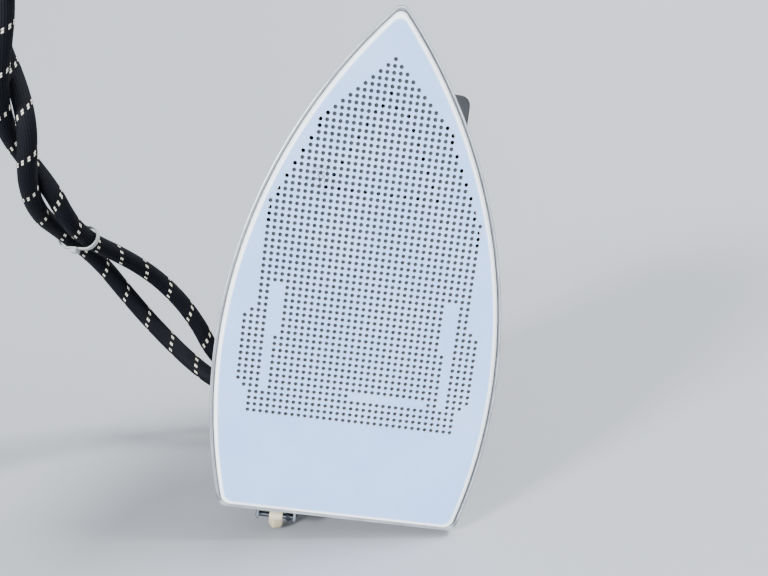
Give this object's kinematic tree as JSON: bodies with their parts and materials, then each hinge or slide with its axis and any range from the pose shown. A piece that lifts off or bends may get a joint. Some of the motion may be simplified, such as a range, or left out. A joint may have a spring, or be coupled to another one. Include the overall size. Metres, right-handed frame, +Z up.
{
  "type": "clothes iron",
  "caption": "Steam iron with a cork grip, a perforated pale shoe held by a heel latch, a thumb lever, a dial, and a hung hose and cable.",
  "frame": {"origin": "under the middle of the iron's box, without its cords, on the surface that it stands on", "axes": "+Z up with the iron standing on its heel, its perforated sole facing -Y, +X to the user's left side of the iron"},
  "size_m": [0.2229, 0.1536, 0.2813],
  "materials": {
    "ptfe": "pale grey moulded PTFE with a soft sheen",
    "shoe_aluminium": "pressed and brushed aluminium",
    "cast_aluminium": "cast aluminium, machined under",
    "sheet_aluminium": "mill finish sheet",
    "steel": "bright zinc-plated or stainless steel",
    "brass": "machined brass",
    "skirt_paint": "dark grey baked paint on pressed steel",
    "black_plastic": "moulded dark grey phenolic with a fine grain",
    "cork": "sanded cork",
    "nylon": "natural nylon",
    "rubber": "moulded black rubber",
    "braid": "black textile braid over rubber, with one pale tracer thread",
    "ceramic": "glazed ceramic and glass sleeving",
    "graphite": "graphite sheet gasket",
    "amber": "clear amber lens",
    "tie_plastic": "translucent nylon strap"
  },
  "bodies": {
    "iron": {"ptfe_sole": "ptfe", "shoe_frame": "shoe_aluminium", "latch_pin": "steel", "latch_spring": "steel", "soleplate": "cast_aluminium", "heating_element": "steel", "chamber_gasket": "graphite", "chamber_lid": "sheet_aluminium", "steam_inlet_boss": "brass", "thermostat": "ceramic", "thermal_fuse": "ceramic", "heat_shield": "steel", "skirt_cover": "skirt_paint", "pilot_lamp": "amber", "front_post": "black_plastic", "grip_collar_front": "steel", "cork_grip": "cork", "grip_collar_rear": "steel", "handle_rod": "steel", "handle_nut_front": "steel", "handle_nut_rear": "steel", "rear_housing": "black_plastic", "rear_cover": "black_plastic", "stand_foot_left": "rubber", "stand_foot_right": "rubber", "terminal_block": "ceramic", "supply_lead_left": "ceramic", "supply_lead_right": "ceramic", "switch_box": "black_plastic", "lever_pin": "steel", "lever_spring": "steel", "micro_switch": "black_plastic", "steam_block": "brass", "steam_pipe": "steel", "hose_nut": "brass", "hose_ferrule": "steel", "cable_gland": "black_plastic", "cable_boot": "rubber", "steam_hose": "braid", "power_cable": "braid", "cable_tie": "tie_plastic", "hanger_block": "black_plastic", "hanger_hook": "steel"},
    "lever": {"steam_lever": "black_plastic"},
    "plunger": {"switch_plunger": "nylon"},
    "dial": {"thermostat_dial": "black_plastic", "dial_spindle": "steel"},
    "latch": {"latch_tab": "nylon", "latch_hook": "steel"}
  },
  "joints": [
    {"name": "lever_press", "type": "hinge", "parent": "iron", "child": "lever", "pos_m": [0.04597, 0.05288, 0.17235], "axis": [-0.9912, 0.0219, 0.1308], "range_deg": [0, 6], "stiffness_Nm_per_rad": 0.6, "springref_deg": -5.73},
    {"name": "plunger_press", "type": "slide", "parent": "iron", "child": "plunger", "axis": [0, -0.9863, 0.1648], "range_m": [0, 0.0024]},
    {"name": "dial_turn", "type": "hinge", "parent": "iron", "child": "dial", "pos_m": [0.00854, 0.00412, 0.12625], "axis": [0, 0.9863, -0.1648], "range_deg": [0, 270]},
    {"name": "latch_release", "type": "hinge", "parent": "iron", "child": "latch", "pos_m": [-0.03586, -0.07126, 0.00882], "axis": [-0.9912, 0.0219, 0.1308], "range_deg": [0, 25], "stiffness_Nm_per_rad": 0.05, "springref_deg": -22.92}
  ],
  "couplings": [
    {"joint": "plunger_press", "follows": "lever_press", "m_per_rad": 0.022}
  ]
}
